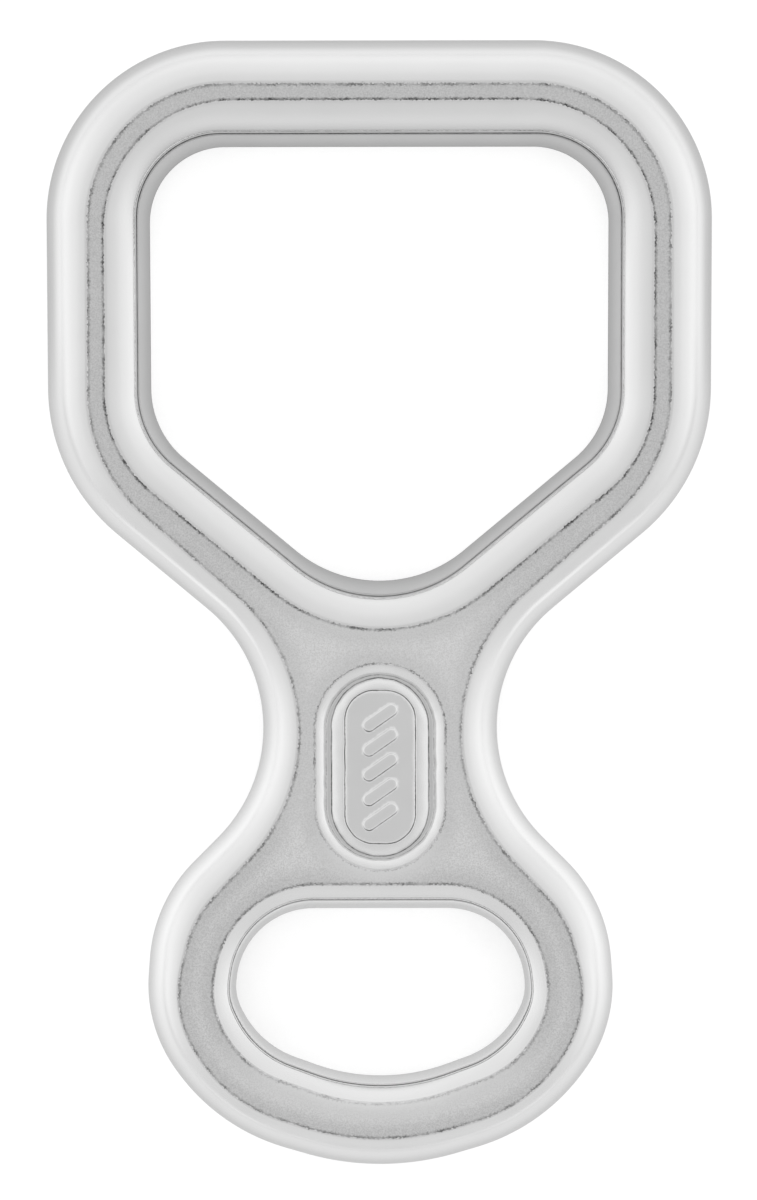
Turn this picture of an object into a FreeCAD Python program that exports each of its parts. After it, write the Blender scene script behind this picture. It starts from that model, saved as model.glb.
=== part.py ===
import FreeCAD, Part
import math
import os

# A figure-eight descender, hot forged in one piece of aluminium alloy. It has a
# large rope opening with straight sides and two square shoulders, a waisted neck
# with an oval badge, and a small oval eye for a locking carabiner.
#
# It lies flat. X runs across it, +Y points to the rope opening and +Z goes up
# through its thickness. The origin is the middle of its footprint, on the surface
# that it lies on. Lengths are in millimetres and angles in degrees.

THICKNESS = 11.5
HALF = THICKNESS / 2.0

# An outline is given by its right half: the corners, as (x, y, radius), from the
# top of the piece to its bottom. Straight sides join the rounded corners.
# Each outline is stated at the heights where the forged section changes: at the
# middle, where the two dies met, and at the edge of the flat faces. The openings
# have one more at the crease between their rounded lip and their drafted wall.

BODY_AT_MIDDLE = [
    (37.15, 62.55, 19.8), (36.8, 14.0, 21.2), (4.7, -12.65, 17.2),
    (25.2, -33.2, 16.8), (26.2, -47.15, 16.1), (18.05, -58.4, 22.4), (0.0, -63.65, 30.0),
]
BODY_AT_FLAT = [
    (32.5, 57.75, 15.5), (32.45, 15.2, 18.1), (0.05, -13.1, 20.4),
    (20.75, -35.0, 12.2), (23.4, -45.4, 12.4), (17.05, -55.65, 17.1), (0.0, -60.9, 29.2),
]

ROPE_OPENING_AT_MIDDLE = [(25.55, 50.7, 8.4), (25.35, 19.1, 10.1), (0.0, -1.9, 14.6)]
ROPE_OPENING_AT_CREASE = [(27.05, 52.2, 9.4), (26.85, 18.5, 10.7), (0.0, -3.65, 14.7)]
ROPE_OPENING_AT_FLAT = [(30.7, 55.85, 14.3), (30.45, 16.6, 14.4), (0.0, -8.35, 18.7)]

EYE_AT_MIDDLE = [
    (15.1, -33.95, 8.6), (16.2, -43.55, 5.4), (13.45, -49.05, 10.5), (0.0, -53.9, 21.5),
]
EYE_AT_CREASE = [
    (15.65, -32.95, 9.4), (17.0, -43.85, 6.0), (14.2, -49.95, 10.8), (0.0, -55.05, 22.0),
]
EYE_AT_FLAT = [
    (17.1, -31.35, 11.4), (18.8, -44.3, 8.3), (15.9, -51.3, 11.3), (0.0, -57.0, 23.0),
]

# How far the rounded lips fall from the flat faces to their crease.
ROPE_OPENING_LIP_DROP = 2.2
EYE_LIP_DROP = 1.3

# How steep the rounded sides are where they leave a flat and where they end.
EDGE_TILT = 10.0
LIP_END_TILT = 50.0
SIDE_END_TILT = 90.0
ROUNDING_STEPS = 6

# The badge in the neck: a groove round a raised oval pad.
BADGE_Y = -18.25
BADGE_GROOVE_DEPTH = 0.75
BADGE_PAD_BELOW_FLAT = 0.2
BADGE_RIM = (7.2, 11.45, 7.2)
BADGE_GROOVE_OUTSIDE = (6.0, 10.25, 6.0)
BADGE_GROOVE_INSIDE = (5.4, 9.9, 5.4)
BADGE_PAD = (4.0, 8.6, 3.4)

# The pad carries a plain twisted-rope pattern: slanted bars, one above another.
TWIST_BARS = 5
TWIST_PITCH = 2.75
TWIST_BAR_LENGTH = 4.4
TWIST_BAR_WIDTH = 1.4
TWIST_SLANT = 35.0
TWIST_RAISED = 0.15

# How far the raised parts reach into the face that they stand on.
ROOT = 0.2

# Two points nearer than this are the same point.
SAME_POINT = 1e-6


def point_on(corner, z):
    """The corner of an outline as a point in space."""
    return FreeCAD.Vector(corner[0], corner[1], z)


def corner_arc(before, corner, after, z):
    """Start, middle and end of the arc that rounds one corner."""
    tip = point_on(corner, z)
    radius = corner[2]
    to_before = (point_on(before, z) - tip).normalize()
    to_after = (point_on(after, z) - tip).normalize()
    half_angle = to_before.getAngle(to_after) / 2.0
    reach = radius / math.tan(half_angle)
    inward = (to_before + to_after).normalize()
    centre = tip + inward * (radius / math.sin(half_angle))
    return tip + to_before * reach, centre - inward * radius, tip + to_after * reach


def ring(outline, z):
    """Closed wire at one height round an outline and its mirror image."""
    mirrored = [(-x, y, radius) for x, y, radius in reversed(outline) if x > 0]
    corners = outline + mirrored
    count = len(corners)
    arcs = []
    for index in range(count):
        following = corners[(index + 1) % count]
        arcs.append(corner_arc(corners[index - 1], corners[index], following, z))
    edges = []
    for index, (start, middle, end) in enumerate(arcs):
        edges.append(Part.Arc(start, middle, end).toShape())
        next_start = arcs[(index + 1) % count][0]
        if end.distanceToPoint(next_start) > SAME_POINT:
            edges.append(Part.LineSegment(end, next_start).toShape())
    return Part.Wire(edges)


def between(first, second, share):
    """An outline part of the way from one to another with as many corners."""
    return [
        tuple(a + share * (b - a) for a, b in zip(corner, other))
        for corner, other in zip(first, second)
    ]


def rounded_side(edge, end, edge_z, end_z, end_tilt):
    """Wires down a rounded side, from the edge of a flat to where the side ends."""
    first = math.radians(EDGE_TILT)
    last = math.radians(end_tilt)
    wires = []
    for step in range(ROUNDING_STEPS + 1):
        tilt = first + (last - first) * step / ROUNDING_STEPS
        across = (math.sin(tilt) - math.sin(first)) / (math.sin(last) - math.sin(first))
        down = (math.cos(first) - math.cos(tilt)) / (math.cos(first) - math.cos(last))
        wires.append(ring(between(edge, end, across), edge_z + down * (end_z - edge_z)))
    return wires


def smooth_solid(wires):
    return Part.makeLoft(wires, True, False)


def ruled_solid(wires):
    return Part.makeLoft(wires, True, True)


def mirrored_in_z(shape):
    return shape.mirror(FreeCAD.Vector(0, 0, 0), FreeCAD.Vector(0, 0, 1))


def blank():
    """The forging before its openings, centred on the plane where the dies met."""
    upper = rounded_side(BODY_AT_FLAT, BODY_AT_MIDDLE, HALF, 0.0, SIDE_END_TILT)
    lower = rounded_side(BODY_AT_FLAT, BODY_AT_MIDDLE, -HALF, 0.0, SIDE_END_TILT)
    return smooth_solid(upper + lower[-2::-1])


def lip_cutter(at_flat, at_end, drop):
    """What the rounded lip of a hollow leaves empty, down from the upper flat."""
    return smooth_solid(rounded_side(at_flat, at_end, HALF, HALF - drop, LIP_END_TILT))


def opening_cutters(at_middle, at_crease, at_flat, drop):
    """What an opening leaves empty: a lip on each face and two drafted walls."""
    wall = ruled_solid([ring(at_middle, 0.0), ring(at_crease, HALF - drop)])
    upper = [wall, lip_cutter(at_flat, at_crease, drop)]
    return upper + [mirrored_in_z(cutter) for cutter in upper]


def badge_outline(size):
    """An upright oval round the middle of the badge."""
    half_width, half_height, radius = size
    return [
        (half_width, BADGE_Y + half_height, radius),
        (half_width, BADGE_Y - half_height, radius),
    ]


def badge_pad():
    """The raised pad that the groove goes round."""
    pad = badge_outline(BADGE_PAD)
    foot = badge_outline(BADGE_GROOVE_INSIDE)
    top = HALF - BADGE_PAD_BELOW_FLAT
    floor = HALF - BADGE_GROOVE_DEPTH
    raised = smooth_solid(rounded_side(pad, foot, top, floor, LIP_END_TILT))
    root = ruled_solid([ring(foot, floor - ROOT), ring(foot, floor)])
    return raised.fuse(root)


def twist_bar(index):
    """One slanted bar of the twisted-rope pattern."""
    half_width = TWIST_BAR_WIDTH / 2.0
    half_length = TWIST_BAR_LENGTH / 2.0
    bar_outline = [
        (half_width, half_length, half_width), (half_width, -half_length, half_width),
    ]
    low = HALF - BADGE_PAD_BELOW_FLAT - ROOT
    bar = Part.Face(ring(bar_outline, low)).extrude(
        FreeCAD.Vector(0, 0, ROOT + TWIST_RAISED))
    bar.rotate(FreeCAD.Vector(0, 0, 0), FreeCAD.Vector(0, 0, 1), TWIST_SLANT - 90.0)
    y = BADGE_Y + (index - (TWIST_BARS - 1) / 2.0) * TWIST_PITCH
    bar.translate(FreeCAD.Vector(0, y, 0))
    return bar


def descender_body():
    """The whole forging, standing on Z = 0 with its footprint centred."""
    rope_opening = opening_cutters(
        ROPE_OPENING_AT_MIDDLE, ROPE_OPENING_AT_CREASE, ROPE_OPENING_AT_FLAT,
        ROPE_OPENING_LIP_DROP)
    eye = opening_cutters(EYE_AT_MIDDLE, EYE_AT_CREASE, EYE_AT_FLAT, EYE_LIP_DROP)
    groove = lip_cutter(
        badge_outline(BADGE_RIM), badge_outline(BADGE_GROOVE_OUTSIDE), BADGE_GROOVE_DEPTH)
    body = blank()
    for cutter in rope_opening + eye + [groove, mirrored_in_z(groove)]:
        body = body.cut(cutter)
    raised = [badge_pad()] + [twist_bar(index) for index in range(TWIST_BARS)]
    raised += [mirrored_in_z(shape) for shape in raised]
    body = body.multiFuse(raised)
    box = body.optimalBoundingBox(False)
    body.translate(FreeCAD.Vector(-box.Center.x, -box.Center.y, HALF))
    return body.Solids[0]


os.makedirs("parts", exist_ok=True)
body = descender_body()
print("solid valid:", body.isValid(), " volume in mm3:", round(body.Volume, 1))
print("size in mm:", body.optimalBoundingBox(False))
body.exportStep("parts/descender_body.step")
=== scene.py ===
import math

import bpy
import numpy as np
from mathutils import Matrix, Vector
from mathutils.geometry import delaunay_2d_cdt


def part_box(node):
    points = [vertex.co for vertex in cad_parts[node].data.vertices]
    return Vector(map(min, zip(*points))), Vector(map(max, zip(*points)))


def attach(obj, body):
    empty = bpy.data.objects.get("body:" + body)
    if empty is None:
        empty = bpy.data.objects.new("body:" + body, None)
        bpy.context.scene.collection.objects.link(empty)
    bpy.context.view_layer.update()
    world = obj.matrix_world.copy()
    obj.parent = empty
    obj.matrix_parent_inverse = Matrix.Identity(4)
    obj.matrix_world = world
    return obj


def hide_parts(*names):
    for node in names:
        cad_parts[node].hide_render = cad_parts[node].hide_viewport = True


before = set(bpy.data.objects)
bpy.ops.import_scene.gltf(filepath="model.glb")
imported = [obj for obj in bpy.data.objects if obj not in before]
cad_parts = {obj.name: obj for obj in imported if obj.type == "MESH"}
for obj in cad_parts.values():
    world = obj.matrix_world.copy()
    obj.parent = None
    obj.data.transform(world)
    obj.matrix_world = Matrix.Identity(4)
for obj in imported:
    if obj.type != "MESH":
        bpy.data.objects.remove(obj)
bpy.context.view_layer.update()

# A figure-eight descender, hot forged in one piece of aluminium alloy, lying on a
# pale table and seen from straight above. Its surface is worked out in millimetres
# round the middle of the forging, with Z = 0 on the plane where the dies met, and
# is turned into metres when the mesh is made.

NODE = "descender_body"
BODY = "root"
SLOT = "forged_aluminium"
MM = 0.001

low_corner, high_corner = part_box(NODE)
MIDDLE = (low_corner + high_corner) / 2.0
HALF = (high_corner.z - low_corner.z) / 2.0 / MM

# ---- the forging's outlines -------------------------------------------------
# The same outlines as the CAD part: the corners of the right half, as
# (x, y, radius), from the top of the piece to its bottom.

BODY_AT_MIDDLE = [
    (37.15, 62.55, 19.8), (36.8, 14.0, 21.2), (4.7, -12.65, 17.2),
    (25.2, -33.2, 16.8), (26.2, -47.15, 16.1), (18.05, -58.4, 22.4), (0.0, -63.65, 30.0),
]
BODY_AT_FLAT = [
    (32.5, 57.75, 15.5), (32.45, 15.2, 18.1), (0.05, -13.1, 20.4),
    (20.75, -35.0, 12.2), (23.4, -45.4, 12.4), (17.05, -55.65, 17.1), (0.0, -60.9, 29.2),
]

ROPE_OPENING_AT_MIDDLE = [(25.55, 50.7, 8.4), (25.35, 19.1, 10.1), (0.0, -1.9, 14.6)]
ROPE_OPENING_AT_CREASE = [(27.05, 52.2, 9.4), (26.85, 18.5, 10.7), (0.0, -3.65, 14.7)]
ROPE_OPENING_AT_FLAT = [(30.7, 55.85, 14.3), (30.45, 16.6, 14.4), (0.0, -8.35, 18.7)]

EYE_AT_MIDDLE = [
    (15.1, -33.95, 8.6), (16.2, -43.55, 5.4), (13.45, -49.05, 10.5), (0.0, -53.9, 21.5),
]
EYE_AT_CREASE = [
    (15.65, -32.95, 9.4), (17.0, -43.85, 6.0), (14.2, -49.95, 10.8), (0.0, -55.05, 22.0),
]
EYE_AT_FLAT = [
    (17.1, -31.35, 11.4), (18.8, -44.3, 8.3), (15.9, -51.3, 11.3), (0.0, -57.0, 23.0),
]

# Each opening's section: how far its lip falls, how steep the lip starts and ends,
# the width and fall of the narrow shoulder at its foot, how steep the drafted wall
# starts and ends, and how much painted wall shade and duller wall finish it has.
ROPE_OPENING_SECTION = {
    "drop": 2.2, "lip": (10.0, 50.0), "shoulder": (0.22, 0.6), "wall": (60.0, 74.0),
    "shade_and_finish": 1.0,
}
EYE_SECTION = {
    "drop": 1.3, "lip": (20.0, 44.0), "shoulder": (0.14, 0.45), "wall": (70.0, 84.0),
    "shade_and_finish": 0.15,
}

BADGE_Y = -18.25
BADGE_GROOVE_DEPTH = 0.75
BADGE_PAD_BELOW_FLAT = 0.2
BADGE_RIM = (7.2, 11.45, 7.2)
BADGE_GROOVE_OUTSIDE = (6.0, 10.25, 6.0)
BADGE_GROOVE_INSIDE = (5.4, 9.9, 5.4)
BADGE_PAD = (4.0, 8.6, 3.4)

TWIST_BARS = 5
TWIST_PITCH = 2.75
TWIST_BAR_LENGTH = 4.4
TWIST_BAR_WIDTH = 1.4
TWIST_SLANT = 35.0
TWIST_RAISED = 0.15

# How steep the rounded sides are where they leave a flat and where they end.
EDGE_TILT = 10.0
SIDE_END_TILT = 90.0
GROOVE_END_TILT = 55.0
PAD_END_TILT = 38.0

# How many steps each rounded part of a section is divided into.
SIDE_STEPS = 22
LIP_STEPS = 12
SHOULDER_STEPS = 4
WALL_STEPS = 12
BADGE_STEPS = 8
BAR_STEPS = 5

# Distance between mesh points along an outline and across the flat faces.
SIDE_SPACING = 0.62
OPENING_SPACING = 0.5
BADGE_SPACING = 0.34
BAR_SPACING = 0.2
FLAT_SPACING = 0.56
PAD_SPACING = 0.3
FEWEST_ARC_STEPS = 6
GRID_CLEARANCE = 0.45   # share of the spacing that a grid point keeps from an outline

SAME_POINT = 1e-4       # outline points nearer than this are the same point
MERGE_DISTANCE = 1e-7   # the same for the points of a filled face
ON_MIDDLE_PLANE = 1e-6  # how near to the middle plane both halves share a point
TINY = 1e-12            # stands in for a zero that something is divided by

# The badge's groove floor is lowest between these shares of its width.
FLOOR_SHARES = (0.3, 0.7)
FLOOR_SAG = 0.03

# The small bevel round the edge of the badge's pad: how far it falls, and its
# stations (across, down).
PAD_BEVEL = 0.16
PAD_BEVEL_STATIONS = [(-0.03, 1.0), (-0.11, 0.4), (-0.2, 0.0)]

# The sides of a raised bar: how far the crown is inset from the foot, how steep
# the side ends, and the station on the crown where it levels out.
BAR_INSET = 0.2
BAR_END_TILT = 60.0
BAR_CROWN_STATION = (-1.4, 0.0)

# The fine line where a flat meets a rounded side is a shallow groove.
EDGE_GROOVE_WIDTH = 0.13
EDGE_GROOVE_DEPTH = 0.035
GROOVE_LEAD = 2.5    # where its first ring of points lies, in half widths
GROOVE_CLEAR = 1.6   # how near the next ring may lie on the other side

# The shoulder's steepness, and the notch in the crease below it.
SHOULDER_TILTS = (60.0, 70.0)
NOTCH_WIDTH = 0.12
NOTCH_DEPTH = 0.06

# Where the flats ease down towards an edge, a highlight is painted on them: how
# wide and how deep the easing is, the Y between which it comes in, and how strong
# the painted highlight is.
EYE_EASING = (3.0, 0.38, -46.0, -56.0, 1.0)
ROPE_OPENING_EASING = (4.0, 0.12, 4.0, -3.0, 0.5)
BADGE_EASING = (2.6, 0.12, -22.0, -29.0, 1.0)

# The badge is hammered slightly uneven: how far its lines wander, how far its
# surface rises and falls, and how long the shortest and longest waves are.
WANDER = 0.018
RIPPLE = 0.012
WAVE_LENGTHS = (1.0, 4.0)
WAVES = 14
WAVE_SEED = 7
STEADY_RIM = 0.6    # how far inside its rim the badge reaches its full unevenness

FAR = 3.0           # a mark's value where its line is too far away to matter
FAINTER = 0.04      # added to a mark's value along a line that shows less
BAR_FAINTER = 0.12  # the same along a bar's upper side, less so round its ends: painted shade lies along its lower side
LINE_GROWTH = 0.6   # how fast the mark grows away from the pad's edge or a bar's foot
EDGE_OUTSIDE = 0.5  # how far outside its edge a flat's own marks still count
NEAR_EDGE = 0.9     # how near to an edge a point lies that counts as being by it

CLEARANCE = 0.002   # how much smaller than the CAD part's box the skin stays


# ---- outlines and rings -----------------------------------------------------

def both_halves(outline):
    """The corners of the whole outline, clockwise from the top right one."""
    return outline + [(-x, y, radius) for x, y, radius in reversed(outline) if x != 0.0]


def corner_arcs(outline):
    """The arc that rounds each corner: its start, end, centre and signed turn."""
    corners = both_halves(outline)
    arcs = []
    for index, (x, y, radius) in enumerate(corners):
        tip = Vector((x, y))
        to_before = (Vector(corners[index - 1][:2]) - tip).normalized()
        to_after = (Vector(corners[(index + 1) % len(corners)][:2]) - tip).normalized()
        half_angle = to_before.angle(to_after) / 2.0
        reach = radius / math.tan(half_angle)
        inward = (to_before + to_after).normalized()
        centre = tip + inward * (radius / math.sin(half_angle))
        start = tip + to_before * reach
        end = tip + to_after * reach
        turn = math.pi - 2.0 * half_angle
        spoke, last_spoke = start - centre, end - centre
        if spoke.x * last_spoke.y < spoke.y * last_spoke.x:
            turn = -turn
        arcs.append((start, end, centre, turn))
    return arcs


def ring_plan(outline, spacing):
    """How many steps each arc, and the straight side after it, is divided into."""
    arcs = corner_arcs(outline)
    plan = []
    for index, (start, end, centre, turn) in enumerate(arcs):
        arc_length = abs(turn) * (start - centre).length
        side_length = (arcs[(index + 1) % len(arcs)][0] - end).length
        side_steps = max(1, round(side_length / spacing)) if side_length > SAME_POINT else 0
        plan.append((max(FEWEST_ARC_STEPS, round(arc_length / spacing)), side_steps))
    return plan


def ring(outline, plan):
    """Points round an outline, divided as the plan says."""
    arcs = corner_arcs(outline)
    points = []
    for index, (start, end, centre, turn) in enumerate(arcs):
        arc_steps, side_steps = plan[index]
        spoke = start - centre
        first_angle = math.atan2(spoke.y, spoke.x)
        for step in range(arc_steps):
            angle = first_angle + turn * step / arc_steps
            points.append((centre.x + spoke.length * math.cos(angle),
                           centre.y + spoke.length * math.sin(angle)))
        following = arcs[(index + 1) % len(arcs)][0]
        for step in range(side_steps):
            points.append(tuple(end.lerp(following, step / side_steps)))
    return np.array(points)


def between(first, second, share):
    """An outline part of the way from one to another with as many corners."""
    return [
        tuple(a + share * (b - a) for a, b in zip(corner, other))
        for corner, other in zip(first, second)
    ]


def oval(size, y=BADGE_Y):
    """An upright oval of a given half width, half height and corner radius."""
    half_width, half_height, radius = size
    return [(half_width, y + half_height, radius), (half_width, y - half_height, radius)]


def inside(points, loop):
    """Which of the points lie inside a closed loop."""
    x, y = points[:, 0, None], points[:, 1, None]
    x1, y1 = loop[:, 0], loop[:, 1]
    x2, y2 = np.roll(x1, -1), np.roll(y1, -1)
    spans = (y1 > y) != (y2 > y)
    rise = np.where(y2 == y1, TINY, y2 - y1)
    crossing = x1 + (y - y1) / rise * (x2 - x1)
    return (spans & (x < crossing)).sum(axis=1) % 2 == 1


def between_loops(points, loops):
    """Which points lie inside the first loop and outside all the others."""
    wanted = inside(points, loops[0])
    for loop in loops[1:]:
        wanted &= ~inside(points, loop)
    return wanted


def distance_to(points, loop):
    """Each point's distance to a closed loop of short segments."""
    start = loop[None, :, :]
    along = np.roll(loop, -1, axis=0)[None, :, :] - start
    offset = points[:, None, :] - start
    share = (offset * along).sum(2) / np.maximum((along ** 2).sum(2), TINY)
    nearest = offset - np.clip(share, 0.0, 1.0)[:, :, None] * along
    return np.sqrt((nearest ** 2).sum(2)).min(axis=1)


def triangular_grid(outline, spacing):
    """Evenly spaced points over the box round an outline."""
    low, high = outline.min(axis=0), outline.max(axis=0)
    heights = np.arange(low[1], high[1], spacing * math.sqrt(0.75))
    return np.array([
        (x + (row % 2) * spacing / 2.0, y)
        for row, y in enumerate(heights)
        for x in np.arange(low[0], high[0], spacing)
    ])


# ---- the mesh under construction --------------------------------------------

class Skin:
    """Points, faces and the marks that the material reads at each point."""

    # flat_edge: how far into a flat, below zero on the rounded sides.
    # line: how far from the nearest crease, pad edge or foot of a raised bar.
    # outside: one on the rounded outside. groove: one on the badge's groove floor.
    # wall: how much painted wall shade and duller wall finish there is.
    MARKS = {"flat_edge": -FAR, "line": FAR, "outside": 0.0, "wall": 0.0, "groove": 0.0}

    def __init__(self):
        self.points = []
        self.faces = []
        self.marks = {name: [] for name in self.MARKS}

    def add(self, points, **marks):
        """Adds points and returns their numbers."""
        first = len(self.points)
        self.points += [tuple(point) for point in points]
        for name, usual in self.MARKS.items():
            self.marks[name] += list(np.broadcast_to(marks.get(name, usual), len(points)))
        return list(range(first, len(self.points)))

    def band(self, rows, outwards):
        """Joins neighbouring rings of points with faces."""
        for upper, lower in zip(rows, rows[1:]):
            for index in range(len(upper)):
                after = (index + 1) % len(upper)
                face = (upper[index], upper[after], lower[after], lower[index])
                self.faces.append(face if outwards else face[::-1])

    def places(self, numbers):
        return np.array([self.points[n][:2] for n in numbers])

    def fill(self, outer, holes, spacing, height, edge_mark):
        """Fills the space between an outer ring of points and the rings of holes."""
        loops = [outer] + holes
        outlines = [self.places(loop) for loop in loops]
        grid = triangular_grid(outlines[0], spacing)
        grid = grid[between_loops(grid, outlines)]
        clear = np.min([distance_to(grid, outline) for outline in outlines], axis=0)
        kept = clear > spacing * GRID_CLEARANCE
        grid, clear = grid[kept], clear[kept]
        marks = {edge_mark: clear + self.marks[edge_mark][outer[0]]}
        added = self.add(np.column_stack([grid, height(grid)]), **marks)
        numbers = [n for loop in loops for n in loop] + added
        edges = []
        first = 0
        for loop in loops:
            edges += [(first + i, first + (i + 1) % len(loop)) for i in range(len(loop))]
            first += len(loop)
        flat = self.places(numbers)
        places = [Vector(place) for place in flat]
        found = delaunay_2d_cdt(places, edges, [], 1, MERGE_DISTANCE)
        triangles, sources = found[2], found[3]
        corners = np.array([[sources[i][0] for i in triangle] for triangle in triangles])
        corners = corners[between_loops(flat[corners].mean(axis=1), outlines)]
        for a, b, c in corners:
            (ax, ay), (bx, by), (cx, cy) = flat[[a, b, c]]
            leftwards = (bx - ax) * (cy - ay) > (by - ay) * (cx - ax)
            order = (a, b, c) if leftwards else (a, c, b)
            self.faces.append(tuple(numbers[i] for i in order))

    def both_faces(self):
        """Points, faces and marks of this upper half and its mirror image below."""
        points = np.array(self.points)
        shared = np.abs(points[:, 2]) < ON_MIDDLE_PLANE
        below = np.where(shared, np.arange(len(points)), -1)
        below[~shared] = len(points) + np.arange((~shared).sum())
        mirrored = points[~shared] * (1.0, 1.0, -1.0)
        faces = self.faces + [tuple(below[n] for n in face[::-1]) for face in self.faces]
        marks = {}
        for name, values in self.marks.items():
            values = np.array(values)
            marks[name] = np.concatenate([values, values[~shared]])
        return np.vstack([points, mirrored]), faces, marks


# ---- the forging's section --------------------------------------------------

def arc_profile(tilts, steps, start=(0.0, 0.0), end=(1.0, 1.0)):
    """Stations (across, down) along an arc that turns from one tilt to another."""
    first, last = (math.radians(tilt) for tilt in tilts)
    stations = []
    for step in range(steps + 1):
        here = first + (last - first) * step / steps
        across = (math.sin(here) - math.sin(first)) / (math.sin(last) - math.sin(first))
        down = (math.cos(first) - math.cos(here)) / (math.cos(first) - math.cos(last))
        stations.append((start[0] + across * (end[0] - start[0]),
                         start[1] + down * (end[1] - start[1])))
    return stations


def with_edge_groove(stations, width, drop):
    """Adds the fine groove at the edge of a flat to the side that starts there."""
    reach = EDGE_GROOVE_WIDTH / 2.0
    groove = [
        (-GROOVE_LEAD * reach / width, 0.0),
        (-reach / width, 0.0),
        (0.0, EDGE_GROOVE_DEPTH / drop),
        (reach / width, math.tan(math.radians(EDGE_TILT)) * reach / drop),
    ]
    after = GROOVE_CLEAR * reach / width
    return groove + [station for station in stations if station[0] > after]


GROOVE_STATION = 2   # which station of with_edge_groove is the edge itself


def mean_gap(first, second):
    """The mean distance between two rings of as many points."""
    return np.linalg.norm(second - first, axis=1).mean()


def rings(first, last, plan, stations, height):
    """Rings of points at stations (across, down) between two outlines."""
    made = []
    for across, down in stations:
        xy = ring(between(first, last, across), plan)
        made.append(np.column_stack([xy, np.broadcast_to(height(xy, down), len(xy))]))
    return made


def lengths_from(made, index):
    """Each ring's distance along the section from one of them, below zero before it."""
    lengths = [np.zeros(len(made[0]))]
    for before, after in zip(made, made[1:]):
        lengths.append(lengths[-1] + np.linalg.norm(after - before, axis=1))
    return [length - lengths[index] for length in lengths]


def smooth(share):
    """A share from 0 to 1 that starts and ends gently."""
    return share ** 2 * (3.0 - 2.0 * share)


def easings(xy):
    """For each easing: its depth, its painted highlight, and its nearness and share at xy."""
    found = []
    for outline, easing in (
            (EYE_AT_FLAT, EYE_EASING), (ROPE_OPENING_AT_FLAT, ROPE_OPENING_EASING),
            (oval(BADGE_RIM), BADGE_EASING)):
        reach, depth, start, end, bright = easing
        loop = ring(outline, ring_plan(outline, 2.0 * OPENING_SPACING))
        away = distance_to(xy, loop) * np.where(inside(xy, loop), -1.0, 1.0)
        nearness = np.maximum(0.0, 1.0 - away / reach)
        share = np.clip((xy[:, 1] - start) / (end - start), 0.0, 1.0)
        found.append((depth, bright, nearness, smooth(share)))
    return found


def flat_height(xy):
    """Height of the upper flat at some places, or of its continuation past an edge."""
    drop = [depth * nearness ** 2 * share for depth, bright, nearness, share in easings(xy)]
    return HALF - np.sum(drop, axis=0)


def brightness(xy):
    """How much highlight is painted on the flat at some places, where it eases down."""
    eased_highlight = [bright * nearness * share for depth, bright, nearness, share in easings(xy)]
    return np.clip(np.max(eased_highlight, axis=0), 0.0, 1.0)


def hammered(points, share):
    """The points shifted by small uneven waves, as far as each one's share says."""
    rng = np.random.default_rng(WAVE_SEED)
    moved = points.copy()
    for _ in range(WAVES):
        direction, phase, push = rng.uniform(0.0, 2.0 * math.pi, 3)
        length = rng.uniform(*WAVE_LENGTHS)
        along = points[:, 0] * math.cos(direction) + points[:, 1] * math.sin(direction)
        swing = np.sin(2.0 * math.pi * along / length + phase) * share
        swing *= math.sqrt(2.0 / WAVES)
        moved[:, 0] += WANDER * swing * math.cos(push)
        moved[:, 1] += WANDER * swing * math.sin(push)
        moved[:, 2] += RIPPLE * swing
    return moved


def level(first_z, last_z):
    """A height that goes from one level down to another."""
    return lambda xy, down: first_z + down * (last_z - first_z)


def outer_side(skin):
    """The rounded outside, from the edge of the upper flat to the middle plane."""
    plan = ring_plan(BODY_AT_MIDDLE, SIDE_SPACING)
    edge = ring(BODY_AT_FLAT, plan)
    width = mean_gap(edge, ring(BODY_AT_MIDDLE, plan))
    sweep = arc_profile((EDGE_TILT, SIDE_END_TILT), SIDE_STEPS)
    stations = with_edge_groove(sweep, width, HALF)
    made = rings(BODY_AT_FLAT, BODY_AT_MIDDLE, plan, stations, level(HALF, 0.0))
    rows = []
    for points, length in zip(made, lengths_from(made, GROOVE_STATION)):
        rows.append(skin.add(points, flat_edge=-length, outside=1.0))
    skin.band(rows, outwards=True)
    return rows[0]


def opening_side(skin, at_flat, at_crease, at_middle, section):
    """An opening's lip, shoulder, notch and drafted wall, down to the middle plane."""
    drop = section["drop"]
    shoulder_width, shoulder_drop = section["shoulder"]
    plan = ring_plan(at_middle, OPENING_SPACING)
    edge, crease = ring(at_flat, plan), ring(at_crease, plan)
    width = mean_gap(edge, crease)
    wall_width = mean_gap(crease, ring(at_middle, plan))
    crease_z = flat_height(crease) - drop
    lip_end = (1.0 - shoulder_width / width, 1.0 - shoulder_drop / drop)
    lip = arc_profile(section["lip"], LIP_STEPS, end=lip_end)
    shoulder = arc_profile(SHOULDER_TILTS, SHOULDER_STEPS, start=lip_end)
    grooved = with_edge_groove(lip, width, drop)
    made = rings(at_flat, at_crease, plan, grooved + shoulder[1:],
                 lambda xy, down: flat_height(xy) - down * drop)
    lip_foot, foot = len(grooved) - 1, len(made)
    notch = 1.0 - 0.5 * NOTCH_WIDTH / width
    notch_z = crease_z - NOTCH_DEPTH
    made += rings(at_flat, at_crease, plan, [(notch, 0.0)], level(notch_z, 0.0))
    wall_start = (NOTCH_WIDTH / wall_width, 2.0 * NOTCH_DEPTH / (HALF - drop))
    wall = arc_profile(section["wall"], WALL_STEPS, start=wall_start)
    made += rings(at_crease, at_middle, plan, wall, level(crease_z, 0.0))
    rows = []
    from_edge = lengths_from(made, GROOVE_STATION)
    from_lip_foot = lengths_from(made, lip_foot)
    from_notch = lengths_from(made, foot)
    for number, points in enumerate(made):
        nearest = np.minimum(np.abs(from_notch[number]),
                             np.abs(from_lip_foot[number]) + FAINTER)
        rows.append(skin.add(
            points, flat_edge=-from_edge[number], line=nearest,
            wall=section["shade_and_finish"] if number > lip_foot else 0.0))
    skin.band(rows, outwards=False)
    return rows[0]


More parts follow.
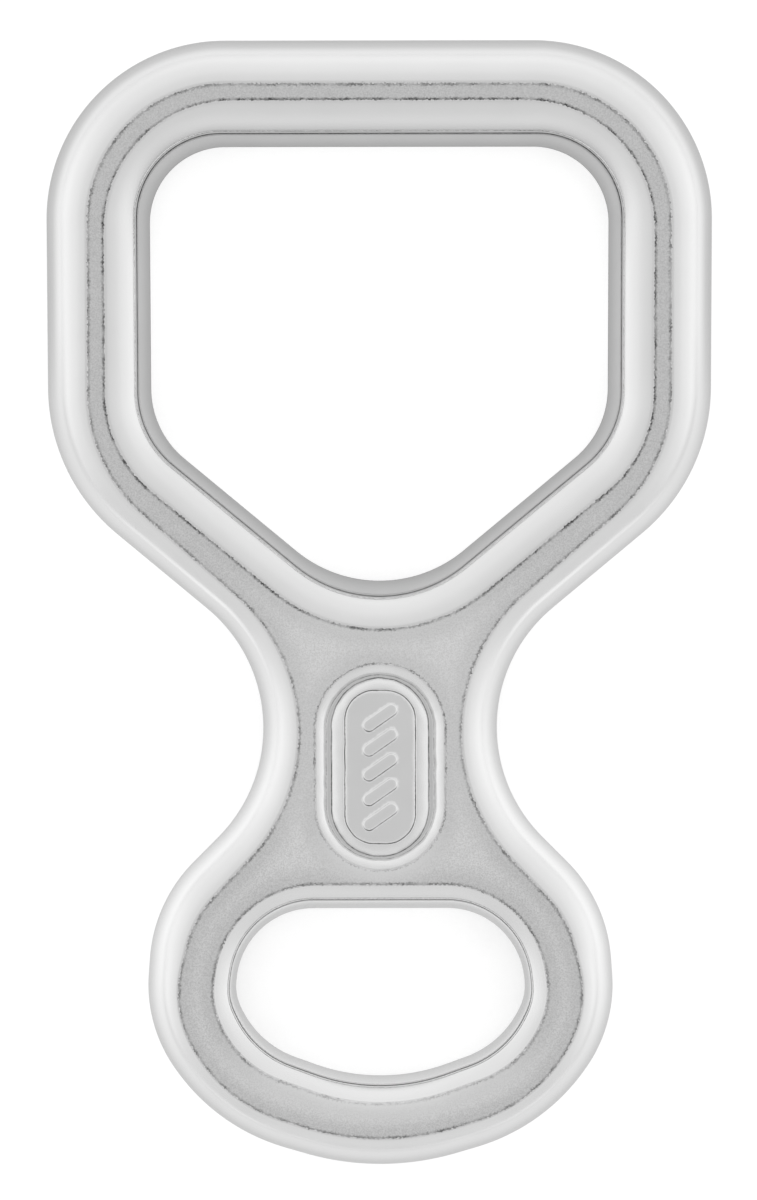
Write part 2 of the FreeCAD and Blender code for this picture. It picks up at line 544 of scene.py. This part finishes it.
def badge(skin):
    """The badge's rim, groove and raised pad with its twisted-rope bars."""
    rim, outside = oval(BADGE_RIM), oval(BADGE_GROOVE_OUTSIDE)
    foot, pad = oval(BADGE_GROOVE_INSIDE), oval(BADGE_PAD)
    plan = ring_plan(rim, BADGE_SPACING)
    edge = ring(rim, plan)
    floor = HALF - BADGE_GROOVE_DEPTH
    pad_z = HALF - BADGE_PAD_BELOW_FLAT
    width = mean_gap(edge, ring(outside, plan))
    sweep = arc_profile((EDGE_TILT, GROOVE_END_TILT), BADGE_STEPS)
    stations = with_edge_groove(sweep, width, BADGE_GROOVE_DEPTH)
    made = rings(rim, outside, plan, stations, level(flat_height(edge), floor))
    first_floor = len(made) - 1
    sagging = [(share, 0.0) for share in FLOOR_SHARES]
    made += rings(outside, foot, plan, sagging, level(floor - FLOOR_SAG, 0.0))
    last_floor = len(made)
    rise = arc_profile((EDGE_TILT, PAD_END_TILT), BADGE_STEPS)
    made += rings(pad, foot, plan, rise[::-1], level(pad_z, floor))
    pad_edge = len(made)
    made += rings(pad, foot, plan, PAD_BEVEL_STATIONS, level(pad_z, pad_z - PAD_BEVEL))
    rows = []
    from_edge = lengths_from(made, GROOVE_STATION)
    lines = [np.abs(lengths_from(made, n)) for n in (first_floor, last_floor, pad_edge)]
    lines[0] = lines[0] + FAINTER
    lines[2] = lines[2] * LINE_GROWTH
    for number, points in enumerate(made):
        share = np.clip(from_edge[number] / STEADY_RIM, 0.0, 1.0)
        rows.append(skin.add(
            hammered(points, share), flat_edge=-from_edge[number],
            line=np.min([lengths[number] for lengths in lines], axis=0),
            groove=float(first_floor <= number <= last_floor)))
    skin.band(rows, outwards=False)
    bars = [twist_bar(skin, index, pad_z) for index in range(TWIST_BARS)]
    skin.fill(rows[-1], bars, PAD_SPACING, lambda xy: np.full(len(xy), pad_z), "line")
    return rows[0]


def twist_bar(skin, index, pad_z):
    """Adds one slanted bar of the twisted-rope pattern and returns its foot."""
    half_width, half_length = TWIST_BAR_WIDTH / 2.0, TWIST_BAR_LENGTH / 2.0
    base = oval((half_width, half_length, half_width), 0.0)
    crown = oval(
        (half_width - BAR_INSET, half_length - BAR_INSET, half_width - BAR_INSET), 0.0)
    plan = ring_plan(base, BAR_SPACING)
    crown_z = pad_z + TWIST_RAISED
    rise = arc_profile((EDGE_TILT, BAR_END_TILT), BAR_STEPS)
    stations = rise[::-1] + [BAR_CROWN_STATION]
    made = rings(crown, base, plan, stations, level(crown_z, pad_z))
    slant = math.radians(TWIST_SLANT - 90.0)
    turn = np.array([[math.cos(slant), math.sin(slant)],
                     [-math.sin(slant), math.cos(slant)]])
    y = BADGE_Y + (index - (TWIST_BARS - 1) / 2.0) * TWIST_PITCH
    for points in made:
        points[:, :2] = points[:, :2] @ turn + (0.0, y)
    # The foot line is faint on a bar's upper side and strong on its lower side: painted shade.
    outwards = made[0][:, :2] - made[-1][:, :2]
    upwards = outwards[:, 1] / np.linalg.norm(outwards, axis=1)
    fainter = BAR_FAINTER * np.clip(1.0 + upwards, 0.0, 1.0)
    rows = []
    for points, length in zip(made, lengths_from(made, 0)):
        rows.append(skin.add(points, line=LINE_GROWTH * length + fainter))
    skin.band(rows, outwards=False)
    skin.fill(rows[-1], [], PAD_SPACING, lambda xy: np.full(len(xy), crown_z), "line")
    return rows[0]


def forging_mesh():
    """The whole skin of the forging as a mesh, in metres, with its marks."""
    skin = Skin()
    outer = outer_side(skin)
    rope_opening = opening_side(
        skin, ROPE_OPENING_AT_FLAT, ROPE_OPENING_AT_CREASE, ROPE_OPENING_AT_MIDDLE,
        ROPE_OPENING_SECTION)
    eye = opening_side(skin, EYE_AT_FLAT, EYE_AT_CREASE, EYE_AT_MIDDLE, EYE_SECTION)
    skin.fill(outer, [rope_opening, eye, badge(skin)], FLAT_SPACING, flat_height, "flat_edge")
    points, faces, marks = skin.both_faces()
    # The flats have three more marks. The first holds how much highlight is painted on them
    # where they ease down.
    # by_badge and by_opening: one next to the badge and next to the rope opening.
    on_flats = marks["flat_edge"] > -EDGE_OUTSIDE
    marks["eased_highlight"] = np.zeros(len(points))
    marks["eased_highlight"][on_flats] = brightness(points[on_flats, :2])
    for name, outline in (("by_badge", oval(BADGE_RIM)), ("by_opening", ROPE_OPENING_AT_FLAT)):
        loop = ring(outline, ring_plan(outline, OPENING_SPACING))
        marks[name] = np.zeros(len(points))
        marks[name][on_flats] = distance_to(points[on_flats, :2], loop) < NEAR_EDGE
    low, high = points.min(axis=0), points.max(axis=0)
    room = np.array(high_corner - low_corner) - CLEARANCE * MM
    scale = np.minimum(MM, room / (high - low))
    mesh = bpy.data.meshes.new("forging")
    mesh.from_pydata((points - (low + high) / 2.0) * scale + np.array(MIDDLE), [], faces)
    for name, values in marks.items():
        mesh.attributes.new(name, "FLOAT", "POINT").data.foreach_set("value", values)
    mesh.polygons.foreach_set("use_smooth", [True] * len(mesh.polygons))
    mesh.validate()
    mesh.update()
    return mesh


# ---- material nodes ---------------------------------------------------------

class Nodes:
    """A short way to add linked nodes to a node tree."""

    def __init__(self, tree):
        self.tree = tree
        tree.nodes.clear()

    def add(self, kind, values=(), **settings):
        """Adds a node, sets its properties, and sets or links its inputs."""
        node = self.tree.nodes.new(kind)
        for name, value in settings.items():
            setattr(node, name, value)
        for key, value in dict(values).items():
            self.feed(node.inputs[key], value)
        return node

    def feed(self, socket, value):
        """Links a socket to a node's first output or to an output, or sets it."""
        if isinstance(value, bpy.types.Node):
            value = value.outputs[0]
        if isinstance(value, bpy.types.NodeSocket):
            self.tree.links.new(value, socket)
        else:
            socket.default_value = value

    def math(self, operation, *values):
        return self.add("ShaderNodeMath", enumerate(values), operation=operation)

    def mark(self, name):
        """One of the marks on the mesh's points."""
        return self.add("ShaderNodeAttribute", attribute_name=name).outputs["Fac"]

    def ramp(self, value, low, high, low_out=0.0, high_out=1.0):
        """A smooth step of a value from one level to another."""
        node = self.add(
            "ShaderNodeMapRange",
            {"Value": value, "From Min": low, "From Max": high,
             "To Min": low_out, "To Max": high_out},
            interpolation_type="SMOOTHSTEP")
        return node.outputs["Result"]

    def share(self, value, first, second):
        """A number that goes from first to second as a value goes from 0 to 1."""
        return self.ramp(value, 0.0, 1.0, first, second)

    def times(self, *values):
        """The product of several values."""
        product = values[0]
        for value in values[1:]:
            product = self.math("MULTIPLY", product, value)
        return product

    def noise(self, place, size, detail=2.0, roughness=0.5, stretch=(1.0, 1.0, 1.0)):
        """Even noise whose features are about size metres across."""
        scaled = self.add(
            "ShaderNodeVectorMath",
            {0: place, 1: tuple(s / size for s in stretch)}, operation="MULTIPLY")
        node = self.add(
            "ShaderNodeTexNoise",
            {"Vector": scaled, "Scale": 1.0, "Detail": detail, "Roughness": roughness})
        return node.outputs["Fac"]

    def mix(self, share, first, second):
        """A blend of two colours, or of numbers that stand for greys."""
        node = self.add("ShaderNodeMix", data_type="RGBA")
        for index, value in ((0, share), (6, first), (7, second)):
            self.feed(node.inputs[index], value)
        return node.outputs[2]


def grey(level):
    return (level, level, level, 1.0)


def new_material(name):
    """An empty material, its nodes, and places on the object that has it."""
    material = bpy.data.materials.new(name)
    material.use_nodes = True
    n = Nodes(material.node_tree)
    return material, n, n.add("ShaderNodeTexCoord").outputs["Object"]


# ---- the metal's finish and painted shade -----------------------------------

# How much light each part of the surface throws back. A pair is a range.
SATIN_TONES = (0.89, 0.93)      # the rounded sides, in soft patches
FLANK_SHADE_TONES = (0.775, 0.585)    # painted shade on their steep lower part, at the eye and at the ring
OUTSIDE_SHADE_TONE = 0.7              # painted shade on stretches of the outside
MATT_TONES = (0.71, 0.97)       # the fine speckle of the flats
FLAT_EDGE_SHADE_TONE = 0.45           # painted shade that the flats darken towards near their edges
FLAT_HIGHLIGHT_TONE = 0.97             # painted highlight on the flats where they ease down, and in the neck
WALL_SHADE_TONES = (0.45, 0.55)       # painted shade on the drafted walls, from the middle to the crease
GROOVE_SHADE_TONE = 0.6               # painted shade on the floor of the badge's groove
TOP_CREASE_SHADE_TONE = 0.45         # painted shade round the crease at the rope opening's top
DARK_TONE = 0.1                 # painted shade and dirt in fine lines and creases
GRAZING_TONE = 0.68             # everything, seen at a shallow angle

# How much of a tone shows at most.
FLAT_EDGE_SHADE_SHARE = 0.3
NECK_SHARE = 0.3
FLAT_HIGHLIGHT_SHARE = 0.9
GROOVE_SHADE_SHARE = 0.5
TOP_CREASE_SHADE_SHARE = 0.3
DARK_SHARE = 0.8

# How rough the rounded sides are, in soft patches, and how much the flats, away from
# and at the stretches where they ease down, and the walls add to that.
SATIN_ROUGHNESS = (0.20, 0.25)
FLAT_ROUGHNESS = (0.22, 0.08)
WALL_ROUGHNESS = 0.10

# How large the features of each uneven layer are, and how high its relief is.
RAGGED_SIZE = 0.26 * MM
GRIT_SIZE = 0.3 * MM
STREAK_SIZE = 1.6 * MM
SPECKLE_SIZE = 0.15 * MM
PATCH_SIZE = 4.0 * MM
DRAG_SIZE = 0.35 * MM
WAVE_SIZE = 5.0 * MM
GRAIN_RELIEF = 0.004 * MM
DRAG_RELIEF = 0.006 * MM
WAVE_RELIEF = 0.006 * MM
DRAG_STRETCH = (1.0, 1.0, 0.15)   # the drag marks run down through the thickness

# The levels between which an uneven layer goes from its lowest to its highest.
SPECKLE_LEVELS = (0.3, 0.7)
PATCH_LEVELS = (0.3, 0.7)
GRIT_LEVELS = (0.4, 0.58)
STREAK_LEVELS = (0.35, 0.65)

# Heights above or below the middle plane between which painted shade on the outside fades out.
FLANK_SHADE_FADE = (2.6 * MM, 4.6 * MM)
EYE_SHADE_FADE = (4.75 * MM, 5.2 * MM)
CORNER_SHADE_FADE = (4.2 * MM, 4.8 * MM)
CREASE_HEIGHT = 3.6 * MM   # where the painted shade on the walls is as light as by the crease

# Stretches along the length of the forging, as Y from its middle.
FLANK_SHADE_STRETCH = (-30.0 * MM, 14.0 * MM)
BELOW_EYE = (-34.0 * MM, -56.0 * MM)
TOP_OF_RING = (36.0 * MM, 46.0 * MM)
LOWER_CORNERS_Y = 6.0 * MM
LOWER_CORNERS_REACH = (6.0 * MM, 30.0 * MM)
NECK_Y = -14.0 * MM
NECK_REACH = (13.0 * MM, 22.0 * MM)

# Marks are in millimetres. Where a flat turns matt, how far the dark line inside
# its edge reaches, and the same at the badge.
MATT_FROM = (-0.02, 0.05)
LINE_FADE = (0.1, 0.42)
BADGE_LINE_END = 0.22

# How far the painted shade on the flats reaches in from their edges, how far a crease's
# dark line reaches, the same along a wall, how much wall shade and finish counts as a
# wall, and how far the painted shade round the top crease reaches.
FLAT_EDGE_SHADE_FADE = (0.5, 3.0)
CREASE_FADE = (0.02, 0.12)
WALL_CREASE_END = 0.2
WALL_FROM = 0.2
TOP_CREASE_SHADE_FADE = (0.1, 1.6)

# How far the edge of a flat wanders, away from the rope opening and next to it,
# and how far a crease does.
EDGE_WANDER = (0.85, 0.6)
CREASE_WANDER = 0.12

# How strong the fine lines are. A pair of line strengths is for a flat's outer
# edge and for its edge along the rope opening.
LINE_STRENGTHS = (1.1, 1.5)
GRIT_STRENGTHS = (0.55, 1.0)
STREAK_STRENGTHS = (0.35, 1.0)
CREASE_STREAK_STRENGTHS = (0.8, 1.2)
# The crease's painted shade is this much darker at the top of the ring.
TOP_CREASE_STRENGTH = 1.7
EASED_FADE = (0.3, 0.9)
EASED_LINE_STRENGTH = 0.6


def outside_shade(n, y, height):
    """Where shade is painted on the outside: below the eye, and by the ring's lower corners.
    """
    below_eye = n.times(n.ramp(y, *BELOW_EYE), n.ramp(height, *EYE_SHADE_FADE, 1.0, 0.0))
    away = n.math("ABSOLUTE", n.math("SUBTRACT", y, LOWER_CORNERS_Y))
    by_corners = n.times(n.ramp(away, *LOWER_CORNERS_REACH, 1.0, 0.0),
                         n.ramp(height, *CORNER_SHADE_FADE, 1.0, 0.0))
    return n.times(n.math("MAXIMUM", below_eye, by_corners), n.mark("outside"))


def rounded_tone(n, y, height, patches):
    """The tone of the rounded sides, with painted shade on their steep lower part and on
    stretches of the outside.
    """
    tone = n.mix(patches, grey(SATIN_TONES[0]), grey(SATIN_TONES[1]))
    # Painted shade on the steep lower part of the sides, darker towards the ring.
    flank_shade = n.ramp(height, *FLANK_SHADE_FADE, 1.0, 0.0)
    tone = n.mix(flank_shade, tone, n.ramp(y, *FLANK_SHADE_STRETCH, *FLANK_SHADE_TONES))
    return n.mix(outside_shade(n, y, height), tone, grey(OUTSIDE_SHADE_TONE))


def flat_tone(n, place, speckle):
    """The tone of the matt flats, with painted shade near their edges and a painted highlight
    in the neck and where they ease down.
    """
    tone = n.mix(speckle, grey(MATT_TONES[0]), grey(MATT_TONES[1]))
    # Painted shade on the flats near their edges.
    edge_shade = n.ramp(n.mark("flat_edge"), *FLAT_EDGE_SHADE_FADE, FLAT_EDGE_SHADE_SHARE, 0.0)
    tone = n.mix(edge_shade, tone, grey(FLAT_EDGE_SHADE_TONE))
    neck = (MIDDLE.x, MIDDLE.y + NECK_Y, MIDDLE.z)
    from_neck = n.add("ShaderNodeVectorMath", {0: place, 1: neck}, operation="DISTANCE")
    in_neck = n.ramp(from_neck.outputs["Value"], *NECK_REACH, NECK_SHARE, 0.0)
    # Painted highlight where the flats ease down and in the neck.
    highlight = n.math("MAXIMUM", n.mark("eased_highlight"), in_neck)
    return n.mix(n.times(highlight, FLAT_HIGHLIGHT_SHARE), tone, grey(FLAT_HIGHLIGHT_TONE))


def flats_and_lines(n, place, by_top):
    """Where the flats are matt, and where fine lines and creases are dark with painted shade
    and dirt.
    """
    by_opening = n.mark("by_opening")
    ragged = n.noise(place, RAGGED_SIZE, detail=3.0, roughness=0.65)
    ragged = n.math("SUBTRACT", ragged, 0.5)
    edge = n.times(ragged, n.share(by_opening, *EDGE_WANDER))
    edge = n.math("ADD", n.mark("flat_edge"), edge)
    matt = n.ramp(edge, *MATT_FROM)

    grit = n.noise(place, GRIT_SIZE, detail=4.0, roughness=0.7)
    grit = n.ramp(grit, *GRIT_LEVELS, *GRIT_STRENGTHS)
    streaks = n.noise(place, STREAK_SIZE, detail=3.0, roughness=0.6)
    streaks = n.ramp(streaks, *STREAK_LEVELS, *STREAK_STRENGTHS)
    fainter_where_eased = n.ramp(n.mark("eased_highlight"), *EASED_FADE, 1.0, EASED_LINE_STRENGTH)
    strength = n.times(grit, streaks, fainter_where_eased, n.share(by_opening, *LINE_STRENGTHS))
    line_end = n.share(n.mark("by_badge"), LINE_FADE[1], BADGE_LINE_END)
    edge_line = n.times(matt, n.ramp(edge, LINE_FADE[0], line_end, 1.0, 0.0), strength)

    from_crease = n.math("ADD", n.mark("line"), n.times(ragged, CREASE_WANDER))
    crease_end = n.ramp(n.mark("wall"), WALL_FROM, 1.0, CREASE_FADE[1], WALL_CREASE_END)
    crease = n.ramp(from_crease, CREASE_FADE[0], crease_end, 1.0, 0.0)
    streaky = n.ramp(streaks, *STREAK_STRENGTHS, *CREASE_STREAK_STRENGTHS)
    crease = n.times(crease, streaky, n.share(by_top, 1.0, TOP_CREASE_STRENGTH))
    return matt, n.math("MAXIMUM", edge_line, crease)


def roughness(n, matt, patches):
    """Satin rounded sides, duller flats, and walls in between."""
    satin = n.ramp(patches, *PATCH_LEVELS, *SATIN_ROUGHNESS)
    dull = n.times(matt, n.share(n.mark("eased_highlight"), *FLAT_ROUGHNESS))
    wall = n.times(n.mark("wall"), WALL_ROUGHNESS)
    return n.math("ADD", n.math("ADD", satin, dull), wall)


def relief(n, place, matt, speckle):
    """Soft waves all over, grain on the flats, and drag marks down the walls."""
    grain = n.times(speckle, n.times(matt, GRAIN_RELIEF))
    drag = n.noise(place, DRAG_SIZE, stretch=DRAG_STRETCH)
    drag = n.times(drag, n.times(n.mark("wall"), DRAG_RELIEF))
    waves = n.times(n.noise(place, WAVE_SIZE, detail=0.0, roughness=0.4), WAVE_RELIEF)
    height = n.math("ADD", waves, n.math("ADD", grain, drag))
    return n.add("ShaderNodeBump", {"Strength": 1.0, "Distance": 1.0, "Height": height})


def forged_aluminium():
    """Tumble-polished rounded sides, matt flats, dark fine lines and creases, and painted
    shade and highlights.
    """
    material, n, place = new_material(SLOT)
    parts = n.add("ShaderNodeSeparateXYZ", {0: place})
    height = n.math("ABSOLUTE", n.math("SUBTRACT", parts.outputs["Z"], MIDDLE.z))
    y = n.math("SUBTRACT", parts.outputs["Y"], MIDDLE.y)
    speckle = n.noise(place, SPECKLE_SIZE, detail=3.0, roughness=0.7)
    speckle = n.ramp(speckle, *SPECKLE_LEVELS)
    patches = n.noise(place, PATCH_SIZE, detail=3.0, roughness=0.55)
    by_top = n.ramp(y, *TOP_OF_RING)
    matt, dark = flats_and_lines(n, place, by_top)
    crease_shade = n.ramp(n.mark("line"), *TOP_CREASE_SHADE_FADE, TOP_CREASE_SHADE_SHARE, 0.0)

    tone = n.mix(matt, rounded_tone(n, y, height, patches), flat_tone(n, place, speckle))
    # Painted shade on the drafted walls, darker towards the middle plane.
    tone = n.mix(n.mark("wall"), tone, n.ramp(height, 0.0, CREASE_HEIGHT, *WALL_SHADE_TONES))
    # Painted shade on the floor of the badge's groove.
    tone = n.mix(n.times(n.mark("groove"), GROOVE_SHADE_SHARE), tone, grey(GROOVE_SHADE_TONE))
    # Painted shade round the crease at the top of the rope opening.
    tone = n.mix(n.times(crease_shade, by_top), tone, grey(TOP_CREASE_SHADE_TONE))
    # Painted shade and dirt along fine lines and creases.
    tone = n.mix(n.times(dark, DARK_SHARE), tone, grey(DARK_TONE))
    shader = n.add("ShaderNodeBsdfPrincipled", {
        "Base Color": tone, "Metallic": 1.0, "Specular Tint": grey(GRAZING_TONE),
        "Roughness": roughness(n, matt, patches),
        "Normal": relief(n, place, matt, speckle)})
    n.add("ShaderNodeOutputMaterial", {"Surface": shader.outputs["BSDF"]})
    return material


# ---- the object -------------------------------------------------------------

def make_forging():
    piece = bpy.data.objects.new("descender_forging", forging_mesh())
    bpy.context.scene.collection.objects.link(piece)
    piece.data.materials.append(forged_aluminium())
    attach(piece, BODY)
    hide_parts(NODE)


# ---- the studio -------------------------------------------------------------

TABLE_SIZE = 3.0
TABLE_TONE = 0.32
TABLE_ROUGHNESS = 0.9
TABLE_GLOW = (0.85, 0.62)             # near the middle, and far away
TABLE_GLOW_REACH = (70.0 * MM, 260.0 * MM)
HIDDEN_REACH = 14.0 * MM              # how far away something may hide the table
HIDDEN_BELOW = 0.42                   # how open the table is where its glow fades
HIDDEN_GLOW = 0.15                    # what is left of the glow in the painted contact shadow

# The tent's brightness by height, from straight below, at 0, to overhead, at 1.
TENT_HEIGHTS = [(0.0, 0.97), (0.17, 0.99), (0.57, 0.89), (0.87, 0.76), (1.0, 0.64)]
# Its brightness round about, and what its sides, corners, back and front add.
TENT_LEVEL = 0.945
TENT_SIDES = 0.07
TENT_CORNERS = -0.54
TENT_BACK = 0.08
TENT_BACK_CORNERS = 0.12
TENT_FRONT = -0.08
FRONT_FADE = (-0.9, -1.0)

CAMERA_DISTANCE = 5.0
CAMERA_AIM = (-0.15 * MM, 0.24 * MM)
CAMERA_ROLL = -0.095
CAMERA_SIGHT = 20.0
FRAME_HEIGHT = 133.45 * MM
SENSOR_HEIGHT = 24.0


def table_material():
    """A pale table top lit from below, less so far away, with a painted contact shadow in its
    glow under and round the piece.
    """
    material, n, place = new_material("pale_table")
    away = n.add("ShaderNodeVectorMath", {0: place}, operation="LENGTH").outputs["Value"]
    glow = n.ramp(away, *TABLE_GLOW_REACH, *TABLE_GLOW)
    # Painted contact shadow: the glow is dimmed where the piece hides the table.
    openness = n.add("ShaderNodeAmbientOcclusion", {"Distance": HIDDEN_REACH}, samples=6)
    openness = n.ramp(openness.outputs["AO"], 0.0, HIDDEN_BELOW, HIDDEN_GLOW, 1.0)
    shader = n.add("ShaderNodeBsdfPrincipled", {
        "Base Color": grey(TABLE_TONE), "Roughness": TABLE_ROUGHNESS,
        "Specular IOR Level": 0.0,
        "Emission Color": grey(1.0), "Emission Strength": n.times(glow, openness)})
    n.add("ShaderNodeOutputMaterial", {"Surface": shader.outputs["BSDF"]})
    return material


def make_table():
    half = TABLE_SIZE / 2.0
    corners = [(-half, -half, 0.0), (half, -half, 0.0), (half, half, 0.0), (-half, half, 0.0)]
    mesh = bpy.data.meshes.new("table_top")
    mesh.from_pydata(corners, [], [(0, 1, 2, 3)])
    mesh.materials.append(table_material())
    table = bpy.data.objects.new("table_top", mesh)
    bpy.context.scene.collection.objects.link(table)
    table.location = (MIDDLE.x, MIDDLE.y, low_corner.z)


def tent_round_about(n, x, y):
    """The tent's brightness by direction across X and along Y."""
    across, along = n.times(x, x), n.times(y, y)
    sides = n.times(n.math("SUBTRACT", across, along), TENT_SIDES)
    corners = n.times(across, along, TENT_CORNERS)
    front = n.ramp(y, *FRONT_FADE, 0.0, TENT_FRONT)
    back = n.times(y, n.math("ADD", n.times(across, TENT_BACK_CORNERS), TENT_BACK))
    around = n.math("ADD", n.math("ADD", sides, corners), n.math("ADD", back, TENT_LEVEL))
    return n.math("ADD", around, front)


def make_light_tent():
    """Soft light from all round, weaker straight overhead and towards the front."""
    world = bpy.data.worlds.new("light_tent")
    bpy.context.scene.world = world
    world.use_nodes = True
    n = Nodes(world.node_tree)
    direction = n.add("ShaderNodeTexCoord").outputs["Generated"]
    parts = n.add("ShaderNodeSeparateXYZ", {0: direction})
    overhead = n.add("ShaderNodeValToRGB", {"Fac": parts.outputs["Z"]})
    ramp = overhead.color_ramp
    ramp.interpolation = "EASE"
    while len(ramp.elements) < len(TENT_HEIGHTS):
        ramp.elements.new(0.5)
    for element, (position, level) in zip(ramp.elements, TENT_HEIGHTS):
        element.position = position
        element.color = grey(level)
    round_about = tent_round_about(n, parts.outputs["X"], parts.outputs["Y"])
    level = n.times(overhead.outputs["Color"], round_about)
    background = n.add("ShaderNodeBackground", {"Color": level, "Strength": 1.0})
    n.add("ShaderNodeOutputWorld", {"Surface": background})


def make_camera():
    data = bpy.data.cameras.new("camera")
    data.sensor_fit = "VERTICAL"
    data.sensor_height = SENSOR_HEIGHT
    data.lens = SENSOR_HEIGHT * CAMERA_DISTANCE / FRAME_HEIGHT
    data.clip_end = CAMERA_SIGHT
    camera = bpy.data.objects.new("camera", data)
    bpy.context.scene.collection.objects.link(camera)
    camera.location = (
        MIDDLE.x + CAMERA_AIM[0], MIDDLE.y + CAMERA_AIM[1], MIDDLE.z + CAMERA_DISTANCE)
    camera.rotation_euler = (0.0, 0.0, math.radians(CAMERA_ROLL))
    bpy.context.scene.camera = camera


make_forging()
make_table()
make_light_tent()
make_camera()
bpy.context.scene.view_settings.view_transform = "Standard"
